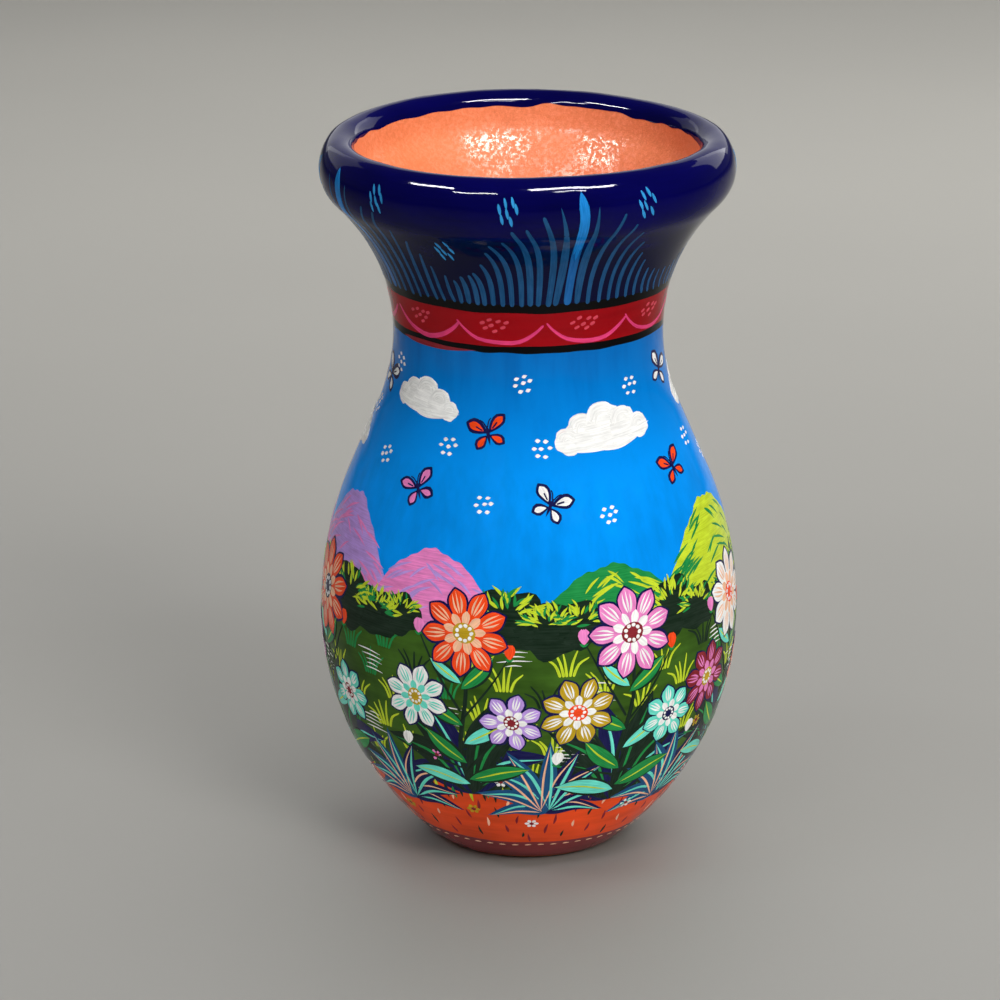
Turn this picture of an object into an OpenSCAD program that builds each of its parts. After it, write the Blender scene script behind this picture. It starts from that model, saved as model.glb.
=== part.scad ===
// Hand-built earthenware vase: a swelling body, a drawn-in waist and a flared neck under a rolled lip.
// It is painted outside in bands and glazed clear inside.
// Sizes are in millimetres. The origin is the middle of the flat foot, with +Z up the axis of the vase.
// The outside of the clay is one chain of tangent arcs, and the inside, the paint and the glaze
// are parallel curves of the same chain, except in the neck, where the wall thickens towards the lip.

/* [Pot] */
// Height of the clay, from the foot to the top of the lip
clay_h = 239.6; // [225:0.1:255]
// Radius of the flat foot
foot_r = 29; // [25:0.5:34]
// Rounding between the foot and the bowl
foot_round = 3; // [2:0.5:4]
// Radius of the belly at its widest
belly_r = 69.1; // [66:0.1:73]
// Height of the widest part of the belly
belly_z = 79; // [75:0.5:83]
// Lean of the straight stretch between shoulder and waist, in degrees from upright
shoulder_lean = 23.3; // [21:0.1:25]
// Radius of the waist at its narrowest
waist_r = 44.1; // [42:0.1:46]
// Thickness of the clay wall
wall = 6.2; // [5:0.1:7]
// Radius of the hollow of the neck on the inside
neck_in_r = 91; // [85:0.5:100]
// Thickness of the floor at the axis
floor_t = 9; // [8:0.5:11]

/* [Lip] */
// Radius of the lip at its widest
lip_r = 67.6; // [65:0.1:69]
// Lean of the neck where the lip begins, in degrees from upright
flare = 46.3; // [45:0.1:48]
// Radius of the rolled outer side of the lip
lip_roll = 13.3; // [12:0.1:15]
// Radius of the round top of the lip
lip_round = 4.8; // [4.2:0.1:5.5]
// Height of the rolled side above the widest point, in degrees round the roll
lip_turn = 35; // [30:1:40]
// Lean of the inside of the lip, in degrees from upright
lip_in_lean = 10; // [6:1:14]

/* [Clay seams] */
// Height of the seam between the base slab and the body, on the outside
base_seam_z = 4; // [3:0.5:6]
// Height of the seam between the body and the neck, on the outside
neck_seam_z = 184; // [181:0.5:188]
// Rise of that scarfed seam through the wall
scarf_rise = 6; // [4:0.5:8]

/* [Paint] */
// Thickness of the paint
coat = 0.4; // [0.3:0.05:0.6]
// Thickness of the clear glaze inside
glaze = 0.3; // [0.2:0.05:0.5]
// Height of the bare clay under the paint
bare_foot = 1.5; // [1:0.1:2.5]
// Top of the foot band
foot_band_top = 10.2; // [8:0.1:14]
// Top of the earth
earth_top = 34; // [26:0.5:42]
// Top of the meadow, where the sky begins
horizon = 92; // [80:0.5:105]
// Underside of the lower black line
band_z = 178; // [174:0.1:180]
// Width of the lower black line
lower_line_w = 2.4; // [1.5:0.1:4]
// Width of the upper black line
upper_line_w = 3.2; // [2:0.1:4]
// Width of the red band
red_w = 11.6; // [9:0.1:14]
// Length that the rim paint runs past the top of the lip
rim_lap = 5.6; // [3:0.1:6.5]

/* [Hidden] */
$fn = 128;

// Degrees between the points of an arc
arc_step = 4;

// The roll of the lip and the hollow of the waist share the flare as their common tangent.
hollow_r = (lip_r - waist_r) / (1 - cos(flare)) - lip_roll;
lip_z = clay_h - lip_round - (lip_roll - lip_round) * sin(lip_turn);
waist_z = lip_z - (hollow_r + lip_roll) * sin(flare);

// The shoulder and the hollow of the waist are both tangent to the straight stretch between them.
draw_in = belly_r - waist_r;
both_arcs = ((waist_z - belly_z) * sin(shoulder_lean) - draw_in * cos(shoulder_lean)) / (1 - cos(shoulder_lean));
shoulder_r = both_arcs - hollow_r;

// The bowl is upright at the belly and tangent to the rounding of the foot.
spread = belly_r - foot_r;
bowl_r = (spread ^ 2 + (belly_z - foot_round) ^ 2 - foot_round ^ 2) / (2 * (spread - foot_round));

foot_c = [foot_r, foot_round];
bowl_c = [belly_r - bowl_r, belly_z];
shoulder_c = [belly_r - shoulder_r, belly_z];
hollow_c = [waist_r + hollow_r, waist_z];
neck_in_c = [waist_r - wall + neck_in_r, waist_z];
roll_c = [lip_r - lip_roll, lip_z];
lip_c = roll_c + (lip_roll - lip_round) * [cos(lip_turn), sin(lip_turn)];

// Unit step off the inside face of the lip
lip_off = [-cos(lip_in_lean), sin(lip_in_lean)];

// Angles round the arcs at which one stretch gives way to the next
bowl_start = atan2(foot_c[1] - bowl_c[1], foot_c[0] - bowl_c[0]);
base_seam = asin((base_seam_z - belly_z) / bowl_r);
neck_seam_out = 180 - asin((neck_seam_z - waist_z) / hollow_r);
neck_seam_in = 180 - asin((neck_seam_z + scarf_rise - waist_z) / neck_in_r);
shoulder_end = 180 + shoulder_lean;
flare_end = 180 - flare;
lip_end = 180 - lip_in_lean;
lap_end = 90 + rim_lap / lip_round * 180 / PI;

red_z = band_z + lower_line_w;
upper_line_z = red_z + red_w;
navy_z = upper_line_z + upper_line_w;

terracotta = [0.86, 0.47, 0.31];
glazed_clay = [0.93, 0.51, 0.32];
navy = [0.04, 0.03, 0.30];
black = [0.04, 0.03, 0.04];
red = [0.68, 0.05, 0.09];
sky_blue = [0.02, 0.50, 0.84];
leaf_green = [0.36, 0.52, 0.14];
earth_orange = [0.80, 0.27, 0.12];
dusky_red = [0.42, 0.20, 0.20];

// Points along an arc of radius r about c, from angle a to angle b
function arc(c, r, a, b) =
    let (n = ceil(abs(b - a) / arc_step))
    [for (i = [0:n]) let (t = a + (b - a) * i / n) c + r * [cos(t), sin(t)]];

function reversed(path) = [for (i = [len(path) - 1:-1:0]) path[i]];

// A path without the second of two points that coincide
function merged(path) =
    [for (i = [0:len(path) - 1]) if (i == 0 || norm(path[i] - path[max(i - 1, 0)]) > 0.001) path[i]];

// Stretches of the wall, each moved off the outside of the clay by d (inwards where d is negative)
function foot_edge(d) = arc(foot_c, foot_round + d, -90, bowl_start);
function bowl(d, a, b) = arc(bowl_c, bowl_r + d, a, b);
function shoulder(d) = arc(shoulder_c, shoulder_r + d, 0, shoulder_lean);
function hollow(d, a, b) = arc(hollow_c, hollow_r - d, a, b);
function neck_inside(d, a, b) = arc(neck_in_c, neck_in_r + d, a, b);
function painted_lip(d) = concat(
    arc(roll_c, lip_roll + d, -flare, lip_turn),
    arc(lip_c, lip_round + d, lip_turn, lap_end)
);
function bare_lip(d) = arc(lip_c, lip_round + d, lap_end, lip_end);

// Angle at which the inside of the lip runs out on the inside of the neck, both d off the clay
function lip_meets(d) =
    lip_end - acos((lip_round + d - lip_off * (neck_in_c - lip_c)) / (neck_in_r + d));

// Angle at which the inside of the bowl meets the floor, both d off the clay
function floor_meets(d) = asin((floor_t + d - belly_z) / (bowl_r - wall - d));

// The whole outside from the foot over the lip, d off the clay
function outside(d) = concat(
    foot_edge(d),
    bowl(d, bowl_start, base_seam),
    bowl(d, base_seam, 0),
    shoulder(d),
    hollow(d, shoulder_end, neck_seam_out),
    hollow(d, neck_seam_out, flare_end),
    painted_lip(d)
);

// The whole inside from the middle of the floor to the rim paint, d off the clay
function inside(d) = concat(
    [[0, floor_t + d]],
    bowl(-wall - d, floor_meets(d), 0),
    shoulder(-wall - d),
    hollow(-wall - d, shoulder_end, 180),
    neck_inside(d, 180, neck_seam_in),
    neck_inside(d, neck_seam_in, lip_meets(d)),
    reversed(bare_lip(d))
);

module turned(outline) {
    rotate_extrude() polygon(merged(outline));
}

// Ring of paint on the outside of the clay, between two heights
module painted(low, high) {
    rotate_extrude()
        intersection() {
            polygon(merged(concat(outside(coat), reversed(outside(0)))));
            translate([0, low]) square([2 * belly_r, high - low]);
        }
}

// Round slab with a bevelled edge that the body is luted to
module base_slab() {
    color(terracotta)
        turned(concat(
            [[0, 0]],
            foot_edge(0),
            bowl(0, bowl_start, base_seam),
            [bowl(-wall, floor_meets(0), 0)[0], [0, floor_t]]
        ));
}

// Bowl, shoulder and waist, scarfed at the top
module body_wall() {
    color(terracotta)
        turned(concat(
            bowl(0, base_seam, 0),
            shoulder(0),
            hollow(0, shoulder_end, neck_seam_out),
            reversed(neck_inside(0, 180, neck_seam_in)),
            reversed(hollow(-wall, shoulder_end, 180)),
            reversed(shoulder(-wall)),
            reversed(bowl(-wall, floor_meets(0), 0))
        ));
}

// Flared neck, cut at the top from the flare to the inside corner under the lip
module neck_collar() {
    color(terracotta)
        turned(concat(
            hollow(0, neck_seam_out, flare_end),
            reversed(neck_inside(0, neck_seam_in, lip_meets(0)))
        ));
}

// Rolled coil that sits on the end of the neck
module rim_coil() {
    color(terracotta)
        turned(concat(
            painted_lip(0),
            bare_lip(0),
            [neck_inside(0, lip_meets(0), 180)[0]]
        ));
}

module foot_band() {
    color(dusky_red) painted(bare_foot, foot_band_top);
}

module earth_coat() {
    color(earth_orange) painted(foot_band_top, earth_top);
}

module meadow_coat() {
    color(leaf_green) painted(earth_top, horizon);
}

module sky_coat() {
    color(sky_blue) painted(horizon, band_z);
}

module lower_black_line() {
    color(black) painted(band_z, red_z);
}

module red_band() {
    color(red) painted(red_z, upper_line_z);
}

module upper_black_line() {
    color(black) painted(upper_line_z, navy_z);
}

// Neck and lip paint, over the top of the lip and a little way down inside it
module navy_coat() {
    color(navy) painted(navy_z, clay_h + 2 * coat);
}

// Clear glaze over the floor and the whole inside, up to the rim paint
module inner_glaze() {
    color(glazed_clay) turned(concat(inside(0), reversed(inside(glaze))));
}

base_slab();
body_wall();
neck_collar();
rim_coil();
foot_band();
earth_coat();
meadow_coat();
sky_coat();
lower_black_line();
red_band();
upper_black_line();
navy_coat();
inner_glaze();
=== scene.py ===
"""Dresses the CAD frame of a hand-painted earthenware vase.

The clay, the paint coats and the inner glaze are rebuilt as smooth meshes with the unevenness of
hand work, each in the place of its CAD solid. Every brush stroke is a thin solid laid on the wall,
and the strokes of one paint in one part of the decoration make one piece.
"""

import math

import bpy
import numpy as np
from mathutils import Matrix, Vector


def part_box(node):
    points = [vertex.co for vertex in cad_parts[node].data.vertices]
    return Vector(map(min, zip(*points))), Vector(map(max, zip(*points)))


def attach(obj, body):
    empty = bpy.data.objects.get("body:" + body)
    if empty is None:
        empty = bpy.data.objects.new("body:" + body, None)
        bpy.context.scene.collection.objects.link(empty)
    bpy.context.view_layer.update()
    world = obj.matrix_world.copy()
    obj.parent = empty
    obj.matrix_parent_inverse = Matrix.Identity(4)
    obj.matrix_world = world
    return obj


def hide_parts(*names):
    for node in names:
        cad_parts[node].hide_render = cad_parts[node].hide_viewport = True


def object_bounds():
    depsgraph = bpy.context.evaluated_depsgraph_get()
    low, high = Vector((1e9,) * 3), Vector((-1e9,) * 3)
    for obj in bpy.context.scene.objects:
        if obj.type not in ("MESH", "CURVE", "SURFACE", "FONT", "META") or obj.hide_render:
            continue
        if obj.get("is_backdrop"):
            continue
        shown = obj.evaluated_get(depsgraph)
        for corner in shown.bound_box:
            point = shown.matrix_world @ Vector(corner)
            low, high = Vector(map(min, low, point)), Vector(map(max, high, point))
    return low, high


bl_info = {
    "name": "Painted earthenware vase",
    "version": (1, 0, 0),
    "blender": (4, 5, 0),
    "location": "View3D > Sidebar > Vase",
    "description": "Dresses the frame of a vase with clay, paint, brush strokes and glaze",
    "category": "Object",
}

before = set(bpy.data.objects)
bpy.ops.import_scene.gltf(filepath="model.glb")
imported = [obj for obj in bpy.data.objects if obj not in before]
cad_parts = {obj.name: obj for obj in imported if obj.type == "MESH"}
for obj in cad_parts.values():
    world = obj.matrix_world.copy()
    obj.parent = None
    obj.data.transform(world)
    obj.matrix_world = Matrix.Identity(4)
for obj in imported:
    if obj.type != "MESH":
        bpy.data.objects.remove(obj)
CAD_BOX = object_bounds()
MM = 0.001

# Points round a painted or glazed shell and round the clay, and the spacing of their rows and of
# the wall's own table
ROUND = 384
ROUND_CLAY = 128
PAINT_ROW = 1.4 * MM
GLAZE_ROW = 2.4 * MM
CLAY_ROW = 3 * MM
TABLE_STEP = 0.25 * MM

# Heights of successive strokes above the paint that they lie on, and how deep they are sunk in it
FIRST_LAYER = 0.03 * MM
LAYER = 0.016 * MM
SUNK = 0.12 * MM
# How much the middle of a stroke stands above its edges, in layers
CROWN = 0.8

# Margin round each solid's share of the UV map, and degrees from which an edge is sharp
UV_MARGIN = 0.03
SHARP = 40


# Sizes and colours

def top_of(node):
    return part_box(node)[1].z


def length(name, description, metres):
    return bpy.props.FloatProperty(
        name=name, description=description, default=metres, min=0.0, unit="LENGTH", precision=5)


def slope(name, description, degrees):
    return bpy.props.FloatProperty(
        name=name, description=description, default=math.radians(degrees), subtype="ANGLE")


def colour(name, description, red, green, blue):
    """A colour given as it shows on a screen, from 0 to 255, and kept as light."""
    shown = np.array([red, green, blue]) / 255
    light = np.where(shown > 0.04045, ((shown + 0.055) / 1.055) ** 2.4, shown / 12.92)
    return bpy.props.FloatVectorProperty(
        name=name, description=description, default=tuple(light), min=0.0, max=1.0, subtype="COLOR")


class VaseShape(bpy.types.PropertyGroup):
    """Sizes of the vase, as in its CAD frame."""

    height: length("Clay height", "From the foot to the top of the lip", top_of("rim_coil"))
    coat: length("Coat", "Thickness of the paint", top_of("navy_coat") - top_of("rim_coil"))
    wall: length("Wall", "Thickness of the clay", 6.2 * MM)
    floor: length("Floor", "Thickness of the clay under the hollow", top_of("base_slab"))
    foot_radius: length("Foot", "Radius of the flat foot", 29 * MM)
    foot_round: length("Foot rounding", "Rounding between the foot and the bowl", 3 * MM)
    belly_radius: length("Belly", "Radius at the widest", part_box("body_wall")[1].x)
    belly_height: length("Belly height", "Height of the widest part", 79 * MM)
    shoulder_lean: slope("Shoulder lean", "Lean of the stretch between shoulder and waist", 23.3)
    waist_radius: length("Waist", "Radius at the narrowest", 44.1 * MM)
    neck_hollow: length("Neck hollow", "Radius of the hollow of the neck inside", 91 * MM)
    lip_radius: length("Lip", "Radius of the lip at its widest", 67.6 * MM)
    flare: slope("Flare", "Lean of the neck where the lip begins", 46.3)
    lip_roll: length("Lip roll", "Radius of the rolled outer side of the lip", 13.3 * MM)
    lip_round: length("Lip rounding", "Radius of the round top of the lip", 4.8 * MM)
    lip_turn: slope("Lip turn", "How far the roll climbs above the widest point", 35)
    lip_lean: slope("Lip lean", "Lean of the inside of the lip", 10)
    lap: length("Lap", "How far the rim paint runs past the top of the lip", 5.6 * MM)
    base_seam: length("Base seam", "Top of the base slab, outside", 4 * MM)
    neck_seam: length("Neck seam", "Top of the body, outside", 184 * MM)
    bare_foot: length("Bare foot", "Height of the bare clay at the foot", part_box("foot_band")[0].z)
    foot_band: length("Foot band", "Top of the foot band", top_of("foot_band"))
    earth: length("Earth", "Top of the earth", top_of("earth_coat"))
    horizon: length("Horizon", "Top of the meadow", top_of("meadow_coat"))
    sky: length("Sky", "Top of the sky", top_of("sky_coat"))
    lower_line: length("Lower line", "Top of the lower black line", top_of("lower_black_line"))
    red_band: length("Red band", "Top of the red band", top_of("red_band"))
    upper_line: length("Upper line", "Top of the upper black line", top_of("upper_black_line"))
    rim_drop: length("Rim drop", "How far the rim has sunk all round", 0.35 * MM)


class VasePaints(bpy.types.PropertyGroup):
    """Colours of the clay and the paints, with painted shade in two of them: the navy under the lip
    and the sky near the waist.
    """

    clay: colour("Clay", "Bare fired clay", 214, 112, 70)
    inside: colour("Inside", "Clay under the clear glaze", 234, 131, 82)
    navy: colour("Navy", "Lip and upper neck", 4, 3, 68)
    # Darker navy under the lip: painted shade where the neck faces down
    navy_painted_shade: colour("Low navy", "The same under the lip", 3, 5, 42)
    black: colour("Black", "Lines beside the red band", 5, 4, 5)
    red: colour("Red", "Band round the waist", 150, 6, 16)
    sky: colour("Sky", "Upper ground of the body", 3, 142, 236)
    # Darker sky near the waist: partly the sky's own darker paint, partly painted shade under the
    # overhanging neck
    high_sky_and_shade: colour("High sky", "The same near the waist", 3, 94, 168)
    meadow: colour("Meadow", "Lower ground of the body", 58, 92, 26)
    earth: colour("Earth", "Ground over the foot", 226, 74, 28)
    dusky: colour("Dusky red", "Foot band", 124, 52, 54)
    teal: colour("Teal", "Grass strokes of the neck", 18, 76, 122)
    mid_blue: colour("Mid blue", "Foot of each tall blade", 14, 92, 158)
    blade: colour("Bright blue", "Tall blade in the middle of each fan", 20, 128, 206)
    dash: colour("Light blue", "Dashes under the lip", 46, 146, 212)
    rose: colour("Rose", "Festoons of the red band", 228, 60, 118)
    rouge: colour("Light red", "Dashes of the red band", 214, 66, 84)
    white: colour("White", "Clouds, dots and petals", 248, 247, 243)
    lime: colour("Yellow green", "Tips of the shrubs and blades of grass", 196, 216, 44)
    leaf: colour("Leaf green", "Leaves and hills", 26, 138, 66)
    pine: colour("Dark green", "Shrubs and stems", 16, 38, 22)
    pink: colour("Pink", "Hills and petals", 236, 132, 196)
    lilac: colour("Lilac", "Hills and petals", 188, 150, 224)
    orange: colour("Orange red", "Petals and leaf edges", 248, 74, 22)
    peach: colour("Peach", "Petal sheen and leaf edges", 250, 192, 154)
    turquoise: colour("Turquoise", "Leaves and petals", 108, 226, 204)
    ochre: colour("Ochre", "Petals and flower eyes", 190, 156, 24)
    ink: colour("Dark blue", "Leaves and shadows", 14, 14, 74)
    crimson: colour("Crimson", "Petals and dashes", 134, 30, 40)


class VaseStage(bpy.types.PropertyGroup):
    """Floor, light and camera."""

    floor: colour("Floor", "Colour of the floor", 118, 116, 110)
    floor_radius: length("Floor radius", "Reach of the floor", 9.0)
    camera_distance: length("Camera distance", "From the axis of the vase to the camera", 1.425)
    camera_height: length("Camera height", "Height of the camera over the floor", 0.5604)
    camera_pitch: slope("Camera pitch", "How far the camera looks down", 17.35)
    lens: bpy.props.FloatProperty(
        name="Lens", description="Focal length on a 36 mm frame", default=162.0,
        subtype="DISTANCE_CAMERA")
    shift: bpy.props.FloatProperty(
        name="Shift", description="Sideways shift of the picture, in picture widths",
        default=-0.028)


# The wall that everything is laid on

def eased(x):
    """A smooth step from 0 to 1."""
    x = np.clip(x, 0.0, 1.0)
    return x * x * (3 - 2 * x)


def round_angles(count):
    """Angles in even steps all the way round."""
    return np.linspace(0, 2 * math.pi, count, endpoint=False)


def oval(x, y, wide, tall, turn):
    """Points at angles round a middle, from its reach to the side and upwards."""
    return np.column_stack([x + wide * np.cos(turn), y + tall * np.sin(turn)])


def waves(table, angle, along):
    """Adds up waves: size in millimetres, number round, radians per metre along, and start."""
    return sum(
        size * MM * np.sin(turns * angle + pace * along + start)
        for size, turns, pace, start in table)


def walk(points):
    """Distances along a path of points."""
    return np.concatenate([[0], np.cumsum(np.hypot(*np.diff(points, axis=0).T))])


def grid(*values):
    """One array of the values at each place of a grid."""
    return np.stack(np.broadcast_arrays(*values), axis=-1)


class Wall:
    """The painted face as one line: up the outside, over the lip and down to the floor inside.

    A place on it is an angle round from the front, a distance along that line, and a lift off it.
    """

    # Slow unevenness of the clay, which goes through the wall
    SWELL = ((0.30, 2, 6, 0.4), (0.20, 3, 14, 2.1), (0.10, 5, 25, 4.0), (0.05, 8, 45, 1.2))
    # Ripple of the smoothed and varnished face
    RIPPLE = (
        (0.050, 7, 210, 0.3), (0.040, 12, 130, 2.2), (0.022, 19, 330, 5.1), (0.014, 31, 500, 1.0))
    # How the rim is out of level
    RIM = ((0.8, 1, 0, -1.57), (0.5, 2, 0, 0.79))
    # Radius and height below which the swell and the ripple die away
    SWELL_FADE = (25 * MM, 15 * MM)
    RIPPLE_FADE = (20 * MM, 8 * MM)
    # Share of the height from which the rim's lean grows
    RIM_BEGINS = 0.62
    # Reach of the rounding of the corners inside
    SOFTENED = 1.6 * MM

    def __init__(self, shape):
        self.shape = shape
        points = self.outline()
        step = np.hypot(*np.diff(points, axis=0).T)
        points = points[np.concatenate([[True], step > 1e-7])]
        walked = walk(points)
        self.s = np.linspace(0, walked[-1], int(walked[-1] / TABLE_STEP))
        line = np.column_stack([np.interp(self.s, walked, points[:, k]) for k in (0, 1)])
        self.crest = int(line[:, 1].argmax())
        line = self.softened(line)
        self.r, self.z = line.T
        run = np.gradient(line, axis=0)
        run /= np.hypot(*run.T)[:, None]
        self.out_r, self.out_z = run[:, 1], -run[:, 0]

    def outline(self):
        """The chain of tangent arcs of the CAD model, one coat off the clay."""
        v = self.shape
        hollow = (v.lip_radius - v.waist_radius) / (1 - math.cos(v.flare)) - v.lip_roll
        roll_over = v.lip_roll - v.lip_round
        lip_z = v.height - v.lip_round - roll_over * math.sin(v.lip_turn)
        waist_z = lip_z - (hollow + v.lip_roll) * math.sin(v.flare)
        rise = waist_z - v.belly_height
        draw_in = v.belly_radius - v.waist_radius
        lean = v.shoulder_lean
        both_arcs = (rise * math.sin(lean) - draw_in * math.cos(lean)) / (1 - math.cos(lean))
        shoulder = both_arcs - hollow
        spread = v.belly_radius - v.foot_radius
        climb = v.belly_height - v.foot_round
        bowl = (spread ** 2 + climb ** 2 - v.foot_round ** 2) / (2 * (spread - v.foot_round))

        foot_c = np.array([v.foot_radius, v.foot_round])
        bowl_c = np.array([v.belly_radius - bowl, v.belly_height])
        shoulder_c = np.array([v.belly_radius - shoulder, v.belly_height])
        hollow_c = np.array([v.waist_radius + hollow, waist_z])
        neck_c = np.array([v.waist_radius - v.wall + v.neck_hollow, waist_z])
        roll_c = np.array([v.lip_radius - v.lip_roll, lip_z])
        lip_c = roll_c + roll_over * np.array([math.cos(v.lip_turn), math.sin(v.lip_turn)])
        lip_off = np.array([-math.cos(v.lip_lean), math.sin(v.lip_lean)])

        def arc(centre, radius, start, stop):
            count = max(2, math.ceil(abs(stop - start) * radius / TABLE_STEP))
            turn = np.linspace(start, stop, count)
            return centre + radius * np.column_stack([np.cos(turn), np.sin(turn)])

        d = v.coat
        half = math.pi
        bowl_start = math.atan2(*(foot_c - bowl_c)[::-1])
        reach = (v.lip_round + d - lip_off @ (neck_c - lip_c)) / (v.neck_hollow + d)
        lip_meets = half - v.lip_lean - math.acos(reach)
        floor_z = v.floor + d
        floor_meets = math.asin((floor_z - v.belly_height) / (bowl - v.wall - d))
        return np.vstack([
            arc(foot_c, v.foot_round + d, -half / 2, bowl_start),
            arc(bowl_c, bowl + d, bowl_start, 0),
            arc(shoulder_c, shoulder + d, 0, lean),
            arc(hollow_c, hollow - d, half + lean, half - v.flare),
            arc(roll_c, v.lip_roll + d, -v.flare, v.lip_turn),
            arc(lip_c, v.lip_round + d, v.lip_turn, half - v.lip_lean),
            arc(neck_c, v.neck_hollow + d, lip_meets, half),
            arc(hollow_c, hollow + v.wall + d, half, half + lean),
            arc(shoulder_c, shoulder - v.wall - d, lean, 0),
            arc(bowl_c, bowl - v.wall - d, 0, floor_meets),
            [[0, floor_z]],
        ])

    def softened(self, line):
        """Rounds the corners inside, where the lip meets the neck and the wall meets the floor."""
        reach = int(3 * self.SOFTENED / TABLE_STEP)
        weight = np.exp(-0.5 * (np.arange(-reach, reach + 1) * TABLE_STEP / self.SOFTENED) ** 2)
        weight /= weight.sum()
        padded = np.pad(line, ((reach, reach), (0, 0)), mode="reflect", reflect_type="odd")
        blurred = np.column_stack([np.convolve(padded[:, k], weight, "valid") for k in (0, 1)])
        past_lip = self.s - self.end_of_lap()
        share = eased(past_lip / (2 * self.SOFTENED))[:, None]
        return line * (1 - share) + blurred * share

    def at_height(self, z):
        """How far along the line the outside is at this height."""
        return np.interp(z, self.z[:self.crest], self.s[:self.crest])

    def end_of_lap(self):
        return self.s[self.crest] + self.shape.lap * (1 + self.shape.coat / self.shape.lip_round)

    def radius(self, s):
        return np.interp(s, self.s, self.r)

    def place(self, angle, s, lift=0.0):
        """Points on the wall, lifted off its face."""
        columns = (self.r, self.z, self.out_r, self.out_z)
        r, z, out_r, out_z = (np.interp(s, self.s, column) for column in columns)
        near, low = self.RIPPLE_FADE
        lift = lift + waves(self.RIPPLE, angle, s) * eased(r / near) * eased(z / low)
        z_out = z + lift * out_z
        near, low = self.SWELL_FADE
        share = eased(r / near) * eased(z_out / low)
        r = r + lift * out_r + waves(self.SWELL, angle, z) * share
        height = self.shape.height
        rim = eased((z - self.RIM_BEGINS * height) / ((1 - self.RIM_BEGINS) * height))
        z = z_out + (waves(self.RIM, angle, 0) - self.shape.rim_drop) * rim
        return np.stack([r * np.sin(angle), -r * np.cos(angle), z], axis=-1)


# Paint on the wall

def smooth_path(points, t):
    """Places from 0 to 1 along a smooth curve through the points."""
    p = np.asarray(points, float)
    p = np.vstack([2 * p[0] - p[1], p, 2 * p[-1] - p[-2]])
    t = np.clip(t, 0, 1 - 1e-9) * (len(p) - 3)
    i = t.astype(int)
    f = (t - i)[:, None]
    a, b, c, d = p[i], p[i + 1], p[i + 2], p[i + 3]
    return b + 0.5 * f * (c - a + f * (2 * a - 5 * b + 4 * c - d + f * (3 * (b - c) + d - a)))


def hill_bell(x):
    """Height of a hill, from 1 in its middle to 0 at its ends."""
    return (1 - np.clip(np.abs(x), 0, 1) ** 2) ** 1.4


# Widths of a brush stroke along its length

def even(t):
    return np.ones_like(t)


def grass(t):
    return (1 + 0.25 * np.sin(math.pi * t)) * (1 - 0.35 * t ** 3)


def pointed(t):
    return (1 + 0.65 * np.sin(math.pi * t)) * np.sqrt(1 - np.clip(t, 0, 1) ** 2)


def widening(t):
    return 0.8 + 0.2 * t


def knife(t):
    return eased(0.5 + 1.5 * t) * np.clip(5 * (1 - t), 0, 1) ** 0.7


def blade(t):
    return 1 - 0.6 * t ** 2


def leaf(t):
    return np.sin(math.pi * np.clip(t, 0, 1) ** 0.8) ** 0.9


def seed(t):
    return 0.35 + 0.65 * np.sin(math.pi * t)


def petal(t):
    return 0.25 + 0.75 * np.sin(math.pi * np.clip(t, 0, 1) ** 1.5) ** 0.8


def scallop(t):
    return 0.4 + 0.6 * np.sin(math.pi * np.clip(0.05 + 0.8 * t, 0, 1)) ** 2


def lift_of(layer, out):
    """Height of a stroke over the paint below it, from its middle (0) out to its edge (1)."""
    return FIRST_LAYER + LAYER * (layer + CROWN * (1 - out ** 2))


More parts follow.
